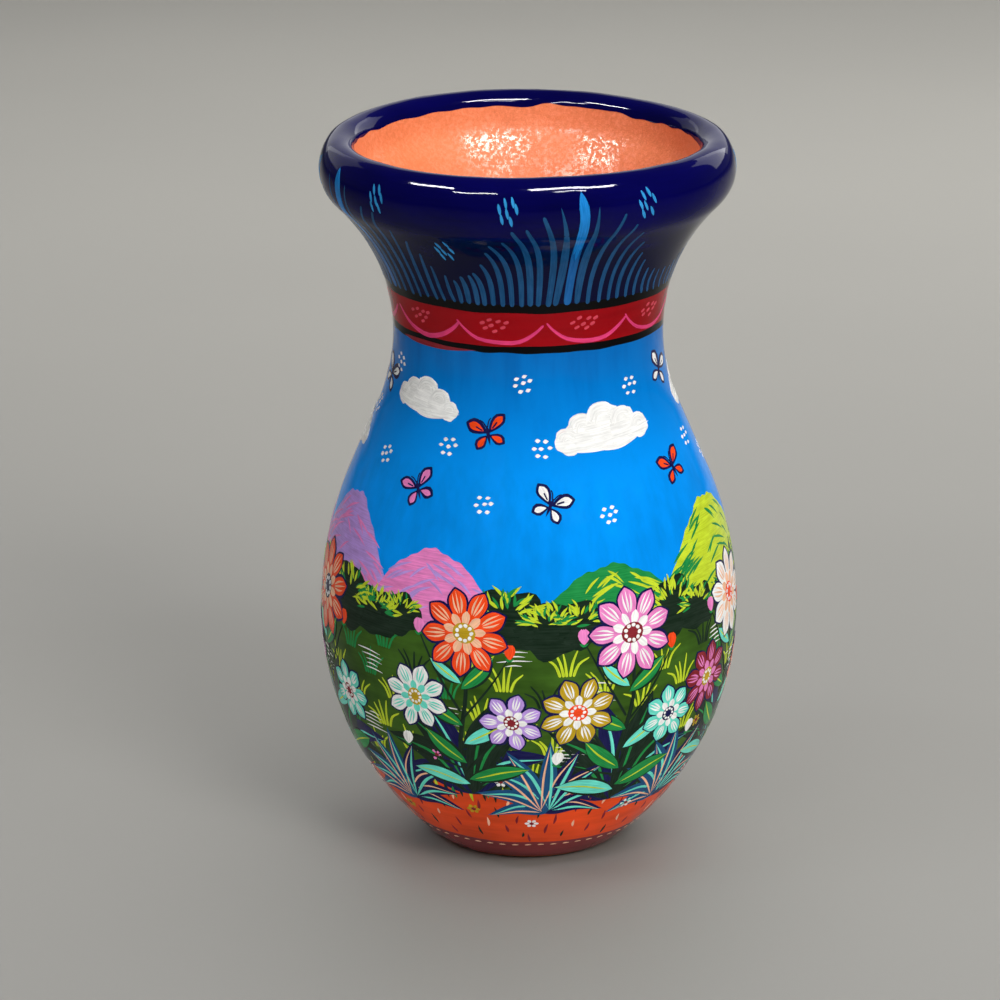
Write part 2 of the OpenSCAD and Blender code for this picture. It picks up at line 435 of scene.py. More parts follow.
class Brushwork:
    """Thin closed solids of one paint, gathered into one mesh."""

    # Points to a millimetre of a stroke, and the fewest and most of them
    DENSITY = 1.3
    POINTS = (8, 24)
    # Width under which a stroke has three points across, not five, and half of its narrowest end
    NARROW = 1.3
    FINEST = 0.03
    # How much strokes differ in width, and dots in roundness
    UNEVEN = 0.06
    OUT_OF_ROUND = 0.09
    # Rings of a filled shape, from its middle to its edge, and points round a dot
    RINGS = (0.2, 0.5, 0.8, 1.0)
    DOT_POINTS = 14
    # Points of a hill to a degree of its half width, and millimetres between its rows
    HILL_POINTS = 5
    HILL_ROW = 1.8

    def __init__(self, wall, seed=1):
        self.wall = wall
        self.random = np.random.default_rng(seed)
        self.points, self.faces, self.brush, self.cells = [], [], [], []
        self.count = 0

    def slab(self, top, under, brush, uv, ring=False, capped=False):
        """Adds one closed solid between two grids of points.

        A ring closes on itself across its columns, and a capped one has a face in its middle.
        """
        rows, columns = top.shape[:2]
        upper = np.arange(rows * columns).reshape(rows, columns) + self.count
        cell = len(self.cells)
        spots = np.arange(uv.shape[0] * uv.shape[1]).reshape(uv.shape[:2])
        if ring:
            upper = np.column_stack([upper, upper[:, 0]])
            if spots.shape[1] == columns:
                spots = np.column_stack([spots, spots[:, 0]])
        lower = upper + rows * columns

        def add(a, b, c, d, sa, sb, sc, sd):
            corners = np.stack([x.ravel() for x in (a, b, c, d)], axis=1)
            places = np.stack([x.ravel() for x in (sa, sb, sc, sd)], axis=1)
            self.faces.append((corners, cell, places))

        def between(a, b, spot):
            add(a[:-1], a[1:], b[1:], b[:-1], spot[:-1], spot[1:], spot[1:], spot[:-1])

        def skin(x):
            add(x[:-1, :-1], x[:-1, 1:], x[1:, 1:], x[1:, :-1],
                spots[:-1, :-1], spots[:-1, 1:], spots[1:, 1:], spots[1:, :-1])

        skin(upper)
        skin(lower)
        between(upper[-1], lower[-1], spots[-1])
        if capped:
            for grid in (upper, lower):
                self.faces.append((grid[:1, :-1], cell, spots[:1, :-1]))
        else:
            between(upper[0], lower[0], spots[0])
        if not ring:
            between(upper[:, 0], lower[:, 0], spots[:, 0])
            between(upper[:, -1], lower[:, -1], spots[:, -1])
        for grid in (top, under):
            self.points.append(grid.reshape(-1, 3))
            self.brush.append(brush.reshape(-1, 3))
        self.cells.append(uv.reshape(-1, 2))
        self.count += 2 * rows * columns

    def lay(self, angle, s, lift, brush, uv, **form):
        """Adds a solid that lies on the wall over a grid of angles and distances."""
        top, under = (self.wall.place(angle, s, height) for height in (lift, -SUNK))
        self.slab(top, under, brush, uv, **form)

    def finish(self, name, material, *nodes, slot=None):
        """Makes the piece and seats it on the frame."""
        side = math.ceil(math.sqrt(len(self.cells)))
        corner_spots = []
        polygons = []
        for corners, cell, places in self.faces:
            polygons.extend(corners.tolist())
            spot = UV_MARGIN + (1 - 2 * UV_MARGIN) * self.cells[cell][places.ravel()]
            corner_spots.append((spot + [cell % side, cell // side]) / side)
        mesh = bpy.data.meshes.new(name)
        mesh.from_pydata(np.concatenate(self.points).tolist(), [], polygons)
        uv_map = mesh.uv_layers.new(name="OFBake")
        uv_map.data.foreach_set("uv", np.concatenate(corner_spots).ravel())
        attribute = mesh.attributes.new("brush", "FLOAT_VECTOR", "POINT")
        attribute.data.foreach_set("vector", np.concatenate(self.brush).ravel())
        seat(name, mesh, material, nodes, slot)

    def stroke(self, spot, points, width, layer, profile=even):
        """A pull of the brush along a path given in millimetres at a spot."""
        long = np.hypot(*np.diff(points, axis=0).T).sum()
        count = int(np.clip(self.DENSITY * long, *self.POINTS))
        t = 0.5 - 0.5 * np.cos(np.linspace(0, math.pi, count))
        path = smooth_path(points, t)
        run = np.gradient(path, axis=0)
        run /= np.hypot(*run.T)[:, None] + 1e-9
        walked = walk(path)
        half = 0.5 * width * profile(t) * (1 + self.UNEVEN * self.random.standard_normal())
        to_end = np.minimum(walked, walked[-1] - walked) / half.max()
        half = np.maximum(half * np.sqrt(1 - (1 - np.clip(to_end, 0, 1)) ** 2), self.FINEST)
        across = np.linspace(-1, 1, 3 if width < self.NARROW else 5)
        side = np.column_stack([-run[:, 1], run[:, 0]])
        xy = path[:, None] + side[:, None] * (half[:, None] * across)[:, :, None]
        brush = grid(walked[:, None], half[:, None] * across, self.random.random())
        uv = grid(t[:, None], 0.5 + 0.5 * across)
        self.lay(*spot.on_wall(xy), lift_of(layer, across), brush, uv)

    def patch(self, spot, outline, layer):
        """A filled shape, given as the points of its outline round its middle."""
        middle = outline.mean(axis=0)
        rings = np.array(self.RINGS)[:, None, None]
        xy = middle + (outline - middle) * rings
        low, high = outline.min(axis=0), outline.max(axis=0)
        brush = grid(xy[..., 0], xy[..., 1], self.random.random())
        uv = (xy - low) / (high - low)
        lift = lift_of(layer, rings[:, :, 0])
        self.lay(*spot.on_wall(xy), lift, brush, uv, ring=True, capped=True)

    def dot(self, spot, x, y, radius, layer):
        """A touch of the tip of the brush."""
        turn = round_angles(self.DOT_POINTS)
        reach = radius * (1 + self.OUT_OF_ROUND * np.sin(2 * turn + self.random.random() * 6))
        self.patch(spot, oval(x, y, reach, reach, turn), layer)

    def rise(self, middle, half_width, foot, crown, layer, rough):
        """A hill between a level foot and a crown, given as heights in millimetres over degrees."""
        degrees = np.linspace(-half_width, half_width, self.HILL_POINTS * half_width)
        bell = hill_bell(degrees / half_width)
        wobble = rough * np.sin(0.55 * degrees + self.random.random() * 6) * bell
        wobble = wobble + 0.5 * rough * np.sin(1.6 * degrees + self.random.random() * 6) * bell
        high = foot + 0.2 + (crown - foot) * bell + wobble
        t = np.linspace(0, 1, max(6, int((crown - foot) / self.HILL_ROW)))[:, None]
        s_low = self.wall.at_height(foot * MM)
        s = s_low + (self.wall.at_height(high * MM) - s_low)[None] * t
        angle = np.radians(middle + degrees)[None]
        brush = grid(angle * self.wall.radius(s) / MM, s / MM, self.random.random())
        uv = grid((degrees[None] / half_width + 1) / 2, t)
        self.lay(angle, s, FIRST_LAYER + LAYER * layer, brush, uv)


class Spot:
    """A place on the wall to paint at, with its own millimetre axes, turned and scaled."""

    def __init__(self, wall, degrees, height, turn=0.0, scale=1.0):
        self.wall = wall
        self.angle = math.radians(degrees)
        self.s = wall.at_height(height * MM)
        turn = math.radians(turn)
        self.cos, self.sin = scale * math.cos(turn), scale * math.sin(turn)

    def on_wall(self, xy):
        x = self.cos * xy[..., 0] - self.sin * xy[..., 1]
        y = self.sin * xy[..., 0] + self.cos * xy[..., 1]
        s = self.s + y * MM
        return self.angle + x * MM / self.wall.radius(s), s


class PaintBox(dict):
    """The brushwork of one part of the decoration, by the name of the paint."""

    def __init__(self, wall, seed):
        super().__init__()
        self.wall = wall
        self.seed = seed
        self.random = np.random.default_rng(seed)

    def __missing__(self, paint):
        self[paint] = Brushwork(self.wall, self.seed + len(self))
        return self[paint]

    def spread(self, size):
        """A random number between -size and size."""
        return size * (2 * self.random.random() - 1)

    def bumpy(self, turn, *bumps):
        """Reach of a blob at angles round it: 1, with waves given as their number and size."""
        reach = 1
        for number, size in bumps:
            reach = reach + size * np.sin(number * turn + self.spread(3))
        return reach

    def round_the_pot(self, count, loose=1.0):
        """Numbers and degrees of places round the vase, off even steps by a random share."""
        for k in range(count):
            yield k, 360 * (k + loose * self.random.random()) / count

    def cluster(self, paint, spot, places, loose, dash, width, profile=even):
        """Short like strokes at places round a spot, each put down a little loosely."""
        for x, y in places:
            middle = np.array([x + self.spread(loose[0]), y + self.spread(loose[1])])
            self[paint].stroke(spot, middle + dash, width, 1, profile)

    def finish(self, prefix, paints):
        for paint, work in self.items():
            work.finish(f"{prefix}_{paint}", brushed_paint(paint, getattr(paints, paint)))


def seat(name, mesh, material, nodes, slot):
    """Shades a mesh smooth, turns its faces outwards and puts it on the frame."""
    mesh.validate()
    mesh.materials.append(material)
    mesh.shade_smooth()
    mesh.set_sharp_from_angle(angle=math.radians(SHARP))
    piece = bpy.data.objects.new(name, mesh)
    bpy.context.scene.collection.objects.link(piece)
    bpy.context.view_layer.objects.active = piece
    piece.select_set(True)
    bpy.ops.object.mode_set(mode="EDIT")
    bpy.ops.mesh.select_all(action="SELECT")
    bpy.ops.mesh.normals_make_consistent(inside=False)
    bpy.ops.object.mode_set(mode="OBJECT")
    piece.select_set(False)
    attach(piece, "root")
    if nodes:
        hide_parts(*nodes)


# Materials

class Value:
    """A shader socket that takes part in arithmetic."""

    def __init__(self, shader, socket):
        self.shader = shader
        self.socket = socket

    def __add__(self, other):
        return self.shader.maths("ADD", self, other)

    def __radd__(self, other):
        return self.shader.maths("ADD", other, self)

    def __sub__(self, other):
        return self.shader.maths("SUBTRACT", self, other)

    def __rmul__(self, other):
        return self.shader.maths("MULTIPLY", other, self)


class Shader:
    """A material whose nodes come from expressions and from one node method."""

    def __init__(self, name):
        self.material = bpy.data.materials.new(name)
        self.material.use_nodes = True
        self.tree = self.material.node_tree
        self.surface = self.tree.nodes["Principled BSDF"]

    def node(self, kind, settings=None, sockets=None, output=0):
        made = self.tree.nodes.new(kind)
        for name, setting in (settings or {}).items():
            setattr(made, name, setting)
        for name, value in (sockets or {}).items():
            self.feed(made.inputs[name], value)
        return Value(self, made.outputs[output])

    def feed(self, socket, value):
        if isinstance(value, Value):
            self.tree.links.new(value.socket, socket)
        else:
            socket.default_value = value

    def maths(self, operation, first, second):
        return self.node("ShaderNodeMath", {"operation": operation}, {0: first, 1: second})

    def stretched(self, vector, scale):
        return self.node("ShaderNodeVectorMath", {"operation": "MULTIPLY"}, {0: vector, 1: scale})

    def mix(self, share, first, second):
        return self.node("ShaderNodeMix", {"data_type": "RGBA"}, {0: share, 6: first, 7: second}, 2)

    def noise(self, vector, scale, detail, rough=0.5):
        sockets = {"Vector": vector, "Scale": scale, "Detail": detail, "Roughness": rough}
        return self.node("ShaderNodeTexNoise", sockets=sockets)

    def between(self, value, low, high):
        """A value from 0 where the input is low to 1 where it is high."""
        sockets = {"Value": value, "From Min": low, "From Max": high}
        return self.node("ShaderNodeMapRange", sockets=sockets)

    def place(self):
        return self.node("ShaderNodeTexCoord", output="Object")

    def finish(self, **sockets):
        """Sets sockets of the surface, with underscores for spaces, and returns the material."""
        for name, value in sockets.items():
            self.feed(self.surface.inputs[name.replace("_", " ")], value)
        return self.material

    def bumped(self, height, depth, strength=1.0):
        sockets = {"Height": height, "Distance": depth, "Strength": strength}
        return self.node("ShaderNodeBump", sockets=sockets)


def shade(colour, factor, share=0.0):
    """A colour made darker or lighter, with a share of white mixed in."""
    mixed = np.array(colour) * factor * (1 - share) + share
    return (*np.clip(mixed, 0, 1), 1.0)


# Roughness of the clear gloss, how strongly it mirrors, and the depth of the relief in it
GLOSS = 0.045
GLOSS_LEVEL = 0.06
GLOSS_RELIEF = 0.03 * MM


def varnished(shader, paint, relief, strength):
    """Finishes paint with the relief of its bristles, under clear gloss with its slow waves."""
    spot = shader.place()
    worn = shader.noise(spot, 60.0, 4.0, 0.6)
    peel = shader.noise(spot, 420.0, 2.0)
    return shader.finish(
        Base_Color=paint, Roughness=GLOSS + 0.07 * shader.between(worn, 0.52, 0.8),
        Specular_IOR_Level=GLOSS_LEVEL, Normal=shader.bumped(relief + peel, GLOSS_RELIEF, strength))


def brushed_paint(name, colour):
    """Paint of a stroke: streaks of the bristles along it, and each stroke in its own tone."""
    material = bpy.data.materials.get(f"{name}_stroke")
    if material:
        return material
    shader = Shader(f"{name}_stroke")
    brush = shader.node("ShaderNodeAttribute", {"attribute_name": "brush"}, output="Vector")
    bristles = shader.noise(shader.stretched(brush, (0.10, 2.6, 41.0)), 1.0, 4.0, 0.65)
    load = shader.noise(shader.stretched(brush, (0.22, 0.5, 17.0)), 1.0, 2.0)
    thin = shader.between(bristles + 0.5 * load, 0.55, 0.95)
    paint = shader.mix(thin, shade(colour, 0.72), shade(colour, 1.06, share=0.01))
    return varnished(shader, paint, 0.5 * bristles, 0.5)


# How finely the bristle streaks of a coat lie along each axis
LEVEL_STROKES = (38, 38, 330)
UPRIGHT_STROKES = (230, 230, 22)


def ground_paint(name, colour, contrast=0.25, patch=24.0, strokes=LEVEL_STROKES, edge=None):
    """Paint of a broad coat: bristle streaks over soft patches.

    The colour of one edge, with the heights at which it begins and has taken over, is blended in:
    painted shade for the navy under the lip, and for the sky near the waist a darker blue that is
    partly its own paint and partly painted shade.
    """
    shader = Shader(name)
    spot = shader.place()
    streaks = shader.noise(shader.stretched(spot, strokes), 1.0, 4.0, 0.58)
    patches = shader.noise(spot, patch, 3.0, 0.55)
    thin = shader.between(0.4 * streaks + 0.6 * patches, 0.36, 0.66)
    paint = shader.mix(thin, shade(colour, 1 - contrast), shade(colour, 1 + 0.4 * contrast))
    if edge:
        edge_colour, begin, end = edge
        height = shader.node("ShaderNodeSeparateXYZ", {}, {0: spot}, 2)
        share = shader.between(height + 0.03 * (patches + streaks - 1.0), begin, end)
        paint = shader.mix(share, paint, shade(edge_colour, 1.0))
    return varnished(shader, paint, 0.4 * streaks, 0.4)


def bare_clay(name, colour):
    """Fired clay with sandy grain."""
    shader = Shader(name)
    spot = shader.place()
    grain = shader.noise(spot, 1500.0, 3.0, 0.7)
    cloud = shader.noise(spot, 45.0, 3.0)
    tone = shader.between(0.6 * grain + 0.4 * cloud, 0.35, 0.68)
    clay = shader.mix(tone, shade(colour, 0.72), shade(colour, 1.08))
    return shader.finish(
        Base_Color=clay, Roughness=0.62 + 0.25 * grain, Normal=shader.bumped(grain, 0.25 * MM, 0.6))


def glazed_clay(name, colour):
    """Clay under a thin clear glaze, which lies in patches over the grain."""
    shader = Shader(name)
    spot = shader.place()
    grain = shader.noise(spot, 750.0, 2.0, 0.55)
    sand = shader.noise(spot, 2000.0, 2.0, 0.6)
    cloud = shader.noise(spot, 38.0, 3.0)
    tone = shader.between(0.4 * grain + 0.3 * sand + 0.3 * cloud, 0.38, 0.64)
    clay = shader.mix(tone, shade(colour, 0.82), shade(colour, 1.04, share=0.01))
    specks = shader.between(0.55 * grain + 0.25 * sand + 0.2 * cloud, 0.50, 0.58)
    # Lighter where the glaze lies in specks: painted glint added to the coat's own gloss there
    clay = shader.mix(0.08 * specks, clay, shade(colour, 1.0, share=0.25))
    return shader.finish(
        Base_Color=clay, Roughness=0.55, Specular_IOR_Level=0.05,
        Normal=shader.bumped(grain + sand, 0.1 * MM),
        Coat_Weight=specks, Coat_Roughness=0.22, Coat_IOR=1.2)


def stage_floor(name, colour):
    shader = Shader(name)
    spot = shader.place()
    fine = shader.noise(spot, 700.0, 3.0, 0.6)
    soft = shader.noise(spot, 3.0, 2.0)
    tone = shader.between(0.5 * fine + 0.5 * soft, 0.3, 0.7)
    grey = shader.mix(tone, shade(colour, 0.95), shade(colour, 1.04))
    return shader.finish(Base_Color=grey, Roughness=0.55 + 0.1 * fine)


# Turned shells

def wavy_edge(middle, size, seed, finest):
    """The border of a coat, laid by hand: distances along the wall at angles round it."""
    random = np.random.default_rng(seed)
    angle = round_angles(ROUND)
    total = np.zeros(ROUND)
    for turns in range(2, finest + 1):
        swing = random.standard_normal()
        total += swing * np.sin(turns * angle + random.random() * 6.3) / math.sqrt(turns)
    return middle + size * total / np.abs(total).max()


def shell_uv(columns, t):
    """UV places of a shell: once round it, and from one end to the other."""
    return grid(np.linspace(0, 1, columns + 1)[None], t)


def turned_shell(wall, low, high, rows, lift, depth, **form):
    """A shell of the wall between two borders, as brushwork to be finished."""
    t = np.linspace(0, 1, rows)[:, None]
    s = low[None] * (1 - t) + high[None] * t
    angle = round_angles(ROUND)[None]
    outer, inner = wall.place(angle, s, lift), wall.place(angle, s, lift - depth)
    work = Brushwork(wall)
    work.slab(outer, inner, np.zeros(outer.shape), shell_uv(ROUND, t), ring=True, **form)
    return work


# Operators

class VaseOperator:
    """What the operators share: the sizes, the chosen colours, the wall and a box of paints."""

    bl_options = {"REGISTER", "UNDO"}
    # Start of the random numbers of an operator's brushwork
    SEED = 0

    def begin(self, context):
        """Takes up the properties and returns the empty box of paints."""
        self.shape = context.scene.vase_shape
        self.paints = context.scene.vase_paints
        self.wall = Wall(self.shape)
        self.box = PaintBox(self.wall, self.SEED)
        return self.box

    def spot(self, degrees, height, **axes):
        return Spot(self.wall, degrees, height, **axes)


class VASE_OT_clay(VaseOperator, bpy.types.Operator):
    """Builds the base slab, the body, the neck and the rim coil of bare clay."""

    bl_idname = "vase.clay"
    bl_label = "Clay"

    # Rings of the flat underside: the first and last as shares of its radius, and their number
    UNDERSIDE = (0.04, 0.98, 14)
    # Rings of the slab's edge, and radius of the face in the middle of its floor
    EDGE_RINGS = 10
    FLOOR_MIDDLE = 1 * MM

    def execute(self, context):
        self.begin(context)
        material = bare_clay("fired_clay", self.paints.clay)
        shape, wall = self.shape, self.wall
        base, neck = wall.at_height(shape.base_seam), wall.at_height(shape.neck_seam)
        rim = neck + 0.5 * (wall.s[wall.crest] - neck)
        lap = wall.end_of_lap()
        base_inside, neck_inside, rim_inside = (self.across(s) for s in (base, neck, rim))
        self.base_slab(material, base, base_inside)
        self.ring("body_wall", material, base, neck, neck_inside, base_inside)
        self.ring("neck_collar", material, neck, rim, rim_inside, neck_inside)
        self.ring("rim_coil", material, rim, lap, lap, rim_inside)
        return {"FINISHED"}

    def across(self, s):
        """Where the inside of the wall is nearest to a place on its outside."""
        wall = self.wall
        inner = np.arange(wall.crest, len(wall.s))
        r, z = wall.radius(s), np.interp(s, wall.s, wall.z)
        return wall.s[inner[np.hypot(wall.r[inner] - r, wall.z[inner] - z).argmin()]]

    def ring(self, name, material, low, high, inner_high, inner_low):
        """A ring of the wall between two seams, closed through its thickness."""
        rows = max(6, int((high - low) / CLAY_ROW))
        outer, inner = np.linspace(low, high, rows), np.linspace(inner_low, inner_high, rows)
        self.finish(name, material, self.faced(outer), self.faced(inner))

    def base_slab(self, material, seam, inner):
        """The slab from its flat underside, round the edge of the foot, to the floor inside."""
        flat = np.linspace(*self.UNDERSIDE)[:, None, None]
        edge = self.faced(np.linspace(0, seam, self.EDGE_RINGS))
        under = np.concatenate([edge[:1] * flat, edge])
        middle = self.wall.s[-1] - self.FLOOR_MIDDLE
        floor = self.faced(np.linspace(middle, inner, len(under)))
        self.finish("base_slab", material, under, floor, capped=True)

    def faced(self, s):
        """Rings of points on the face of the clay, under the paint or the glaze."""
        return self.wall.place(round_angles(ROUND_CLAY)[None], s[:, None], -self.shape.coat)

    def finish(self, name, material, outer, inner, **form):
        uv = shell_uv(ROUND_CLAY, np.linspace(0, 1, len(outer))[:, None])
        work = Brushwork(self.wall)
        work.slab(outer, inner, np.zeros(outer.shape), uv, ring=True, **form)
        work.finish(f"clay_{name}", material, name, slot="terracotta")


class VASE_OT_coats(VaseOperator, bpy.types.Operator):
    """Lays the ground paints from the foot to the inside of the lip."""

    bl_idname = "vase.coats"
    bl_label = "Ground coats"

    # The borders of the coats by the sizes that they run at, how far each strays in millimetres,
    # and the number of its finest waves, and the same two for the end of the rim paint
    BORDERS = (
        ("bare_foot", 0.25, 9), ("foot_band", 0.35, 9), ("earth", 2.2, 9), ("horizon", 1.5, 9),
        ("sky", 0.35, 24), ("lower_line", 0.30, 18), ("red_band", 0.25, 18),
        ("upper_line", 0.25, 18))
    LAP_BORDER = (1.3, 40)
    # Half of how much deeper the rim paint runs at the back
    BEHIND = 0.9 * MM
    # Thickness of the glaze, how far its face lies under that of paint, and radius of the face in
    # the middle of its floor
    GLAZE = 0.3 * MM
    GLAZE_SUNK = 0.1 * MM
    GLAZE_MIDDLE = 0.5 * MM
    # Where the darker second colour of the sky and of the neck begins and has taken over, in shares
    # of
    # the heights of the sky and of the clay: on the neck it is painted shade under the lip, on the
    # sky partly its own darker paint and partly painted shade under the neck
    HIGH_SKY_AND_SHADE = (0.80, 1.02)
    NAVY_PAINTED_SHADE = (0.93, 0.89)

    def execute(self, context):
        self.begin(context)
        shape, paints, wall = self.shape, self.paints, self.wall
        borders = [
            wavy_edge(wall.at_height(getattr(shape, top)), size * MM, seed, finest)
            for seed, (top, size, finest) in enumerate(self.BORDERS, 1)]
        size, finest = self.LAP_BORDER
        lap = wavy_edge(wall.end_of_lap(), size * MM, len(borders) + 1, finest)
        borders.append(lap + self.deeper_behind())
        high_sky_and_shade = (paints.high_sky_and_shade, *(share * shape.sky for share in self.HIGH_SKY_AND_SHADE))
        navy_painted_shade = (paints.navy_painted_shade, *(share * shape.height for share in self.NAVY_PAINTED_SHADE))
        coats = (
            ("foot_band", "dusky_red_paint", ground_paint("dusky_red_paint", paints.dusky)),
            ("earth_coat", "earth_paint", ground_paint("earth_paint", paints.earth, 0.35)),
            ("meadow_coat", "meadow_paint", ground_paint("meadow_paint", paints.meadow, 0.5, 60.0)),
            # The sky darkens near the waist: partly its own paint, partly painted shade under the
            # neck
            ("sky_coat", "sky_paint", ground_paint(
                "sky_paint", paints.sky, 0.2, strokes=UPRIGHT_STROKES, edge=high_sky_and_shade)),
            ("lower_black_line", "black_paint", ground_paint("lower_black_paint", paints.black)),
            ("red_band", "red_paint", ground_paint("red_paint", paints.red, 0.22)),
            ("upper_black_line", "black_paint", ground_paint("upper_black_paint", paints.black)),
            # The navy darkens under the lip: painted shade where the neck faces down
            ("navy_coat", "navy_paint", ground_paint(
                "navy_paint", paints.navy, 0.3, edge=navy_painted_shade)),
        )
        for (node, slot, material), low, high in zip(coats, borders, borders[1:]):
            rows = max(4, int((high - low).max() / PAINT_ROW))
            work = turned_shell(wall, low, high, rows, 0.0, shape.coat)
            work.finish(f"painted_{node}", material, node, slot=slot)
        self.glaze(borders[-1])
        return {"FINISHED"}

    def deeper_behind(self):
        """How much further the rim paint runs down inside at the back than at the front."""
        return self.BEHIND * (1 - np.cos(round_angles(ROUND)))

    def glaze(self, upper):
        """The clear glaze from the rim paint down to the middle of the floor."""
        end = np.full(ROUND, self.wall.s[-1] - self.GLAZE_MIDDLE)
        rows = int((end[0] - upper.min()) / GLAZE_ROW)
        work = turned_shell(
            self.wall, end, upper, rows, -self.GLAZE_SUNK, self.GLAZE, capped=True)
        work.finish(
            "clear_inner_glaze", glazed_clay("glazed_clay", self.paints.inside), "inner_glaze",
            slot="glazed_clay")


class VASE_OT_neck(VaseOperator, bpy.types.Operator):
    """Paints the grass fans and the dashes of the neck."""

    bl_idname = "vase.neck"
    bl_label = "Neck ornament"

    SEED = 11
    # Degrees of the four fans from the front, and the number of strokes and of dash clusters on the
    # right of each
    FANS = ((15, 12, 1), (109, 12, 2), (203, 12, 2), (297, 8, 2))
    # Degrees from a fan's middle to its dash clusters, and their heights
    LEFT_CLUSTER = (-20, 230.5)
    RIGHT_CLUSTERS = ((18.5, 230.5), (37, 214.5))
    # The strokes on each side of a fan, from its middle outwards: the degrees to the first and
    # between them, the width of the first and what each loses, and the length and outward lean of
    # each, in millimetres
    SIDES = {
        -1: (4.35, 3.35, 1.65, 0.03, (
            (44.5, 1.8), (39.5, 4.4), (36.5, 4.9), (34.5, 6.2), (30, 5.6), (27, 5.8), (23, 4.2),
            (17, 2.8), (13.5, 2.5), (12.5, 1.8), (11.5, 1.5), (9.5, 1.2))),
        1: (4.25, 4.25, 1.5, 0.07, (
            (43.5, 0.3), (39, 4.2), (36.5, 3.9), (31, 2.6), (24.5, 1.6), (19, 0.2), (14.5, -1.2),
            (10.5, -1.7), (9, -1.1), (8, -1.0), (8, -0.8), (7.5, -0.6))),
    }
    # Middles of the dashes of a cluster, and the path of one, in millimetres
    DASHES = (
        (-2.8, 0.4), (-1.5, 2.7), (-0.6, -0.5), (1.1, 3.3), (2.3, 0.9), (1.2, -2.7), (-2.0, -3.0))
    DASH = ((-0.6, 1.8), (0, 0), (0.5, -1.7))

    def execute(self, context):
        box = self.begin(context)
        root = self.shape.upper_line / MM - 0.6
        for fan, right, clusters in self.FANS:
            self.tall_blade(box, fan, root)
            for side, (first, step, width, loss, strokes) in self.SIDES.items():
                for k, (tall, lean) in enumerate(strokes[:right] if side > 0 else strokes):
                    degrees = fan + side * (first + step * k) + box.spread(0.4)
                    spot = self.spot(degrees, root + box.spread(0.25))
                    self.grass(box, spot, side, k, tall, lean, width - loss * k)
            for turn, height in (self.LEFT_CLUSTER, *self.RIGHT_CLUSTERS[:clusters]):
                spot = self.spot(fan + turn, height, turn=box.spread(7))
                box.cluster("dash", spot, self.DASHES, (0.35, 0.35), self.DASH, 1.0, seed)
        box.finish("neck", self.paints)
        return {"FINISHED"}

    def tall_blade(self, box, fan, root):
        spot = self.spot(fan, root)
        box["mid_blue"].stroke(spot, [(0, 0), (0.1, 14), (0.0, 24), (0.1, 33)], 3.1, 1.5, widening)
        for x, start in ((-0.8, 22), (0.2, 19), (0.9, 24)):
            path = [(x, start), (x, 0.5 * start + 17), (0.9 * x, 34)]
            box["blade"].stroke(spot, path, 1.0, 2.5, leaf)
        box["blade"].stroke(spot, [(0.1, 25), (0.0, 32), (0.2, 40), (-0.9, 48)], 3.3, 3, knife)

    def grass(self, box, spot, side, k, tall, lean, width):
        """A stroke that bows towards the middle of the fan and falls outwards at its tip."""
        t = np.linspace(0, 1, 7)
        bow = max(1.4 - 0.5 * k, 0) if side < 0 else min(0.3 + 0.25 * k, 1.2)
        x = (lean + box.spread(0.4)) * t ** 3.5 - 4 * bow * t * (1 - t)
        path = np.column_stack([side * x, tall * (1 + box.spread(0.03)) * t])
        box["teal"].stroke(spot, path, width + box.spread(0.12), 1, grass if k else pointed)


class VASE_OT_band(VaseOperator, bpy.types.Operator):
    """Paints the festoons and dashes of the red band."""

    bl_idname = "vase.band"
    bl_label = "Band ornament"

    SEED = 21
    # Number of the festoons, and degrees of the first cusp between them
    FESTOONS = 10
    FIRST_CUSP = 6.5
    # Middles of the dashes over a festoon, and the path of one, in millimetres
    DASHES = (
        (-4.2, 1.0), (-3.4, -0.8), (-2.0, 2.2), (-1.0, 0.2), (0.2, -1.8), (1.2, 1.6), (2.2, -0.2),
        (3.6, 1.2))
    DASH = ((-0.85, -0.35), (0, 0), (0.85, 0.35))

    def execute(self, context):
        box = self.begin(context)
        low, high = self.shape.lower_line / MM, self.shape.red_band / MM
        radius = self.wall.radius(self.wall.at_height(0.5 * (low + high) * MM)) / MM
        step = 360 / self.FESTOONS
        half = 0.5 * math.radians(step) * radius
        for k in range(self.FESTOONS):
            cusp = self.FIRST_CUSP + k * step + box.spread(1.2)
            middle = cusp + 0.5 * step
            drop = box.spread(0.5)
            path = [
                (-half, 8.2), (-0.82 * half, 5.4), (-0.5 * half, 2.3), (0, 0.9 + drop),
                (0.45 * half, 1.7), (0.8 * half, 4.6), (half, 7.4)]
            box["rose"].stroke(self.spot(middle, low), path, 1.45, 1, scallop)
            spot = self.spot(middle - 1.5, low + 7.0, turn=box.spread(10))
            box.cluster("rouge", spot, self.DASHES, (0.35, 0.3), self.DASH, 1.05)
        self.underpaint(box)
        box.finish("band", self.paints)
        return {"FINISHED"}

    def underpaint(self, box):
        """Dark red that shows under the lower black line on the left."""
        spot = self.spot(-41, self.shape.sky / MM)
        box["crimson"].stroke(spot, [(-17, 0.2), (-8, -0.1), (4, -0.2), (15, 0.4)], 1.7, 0, leaf)


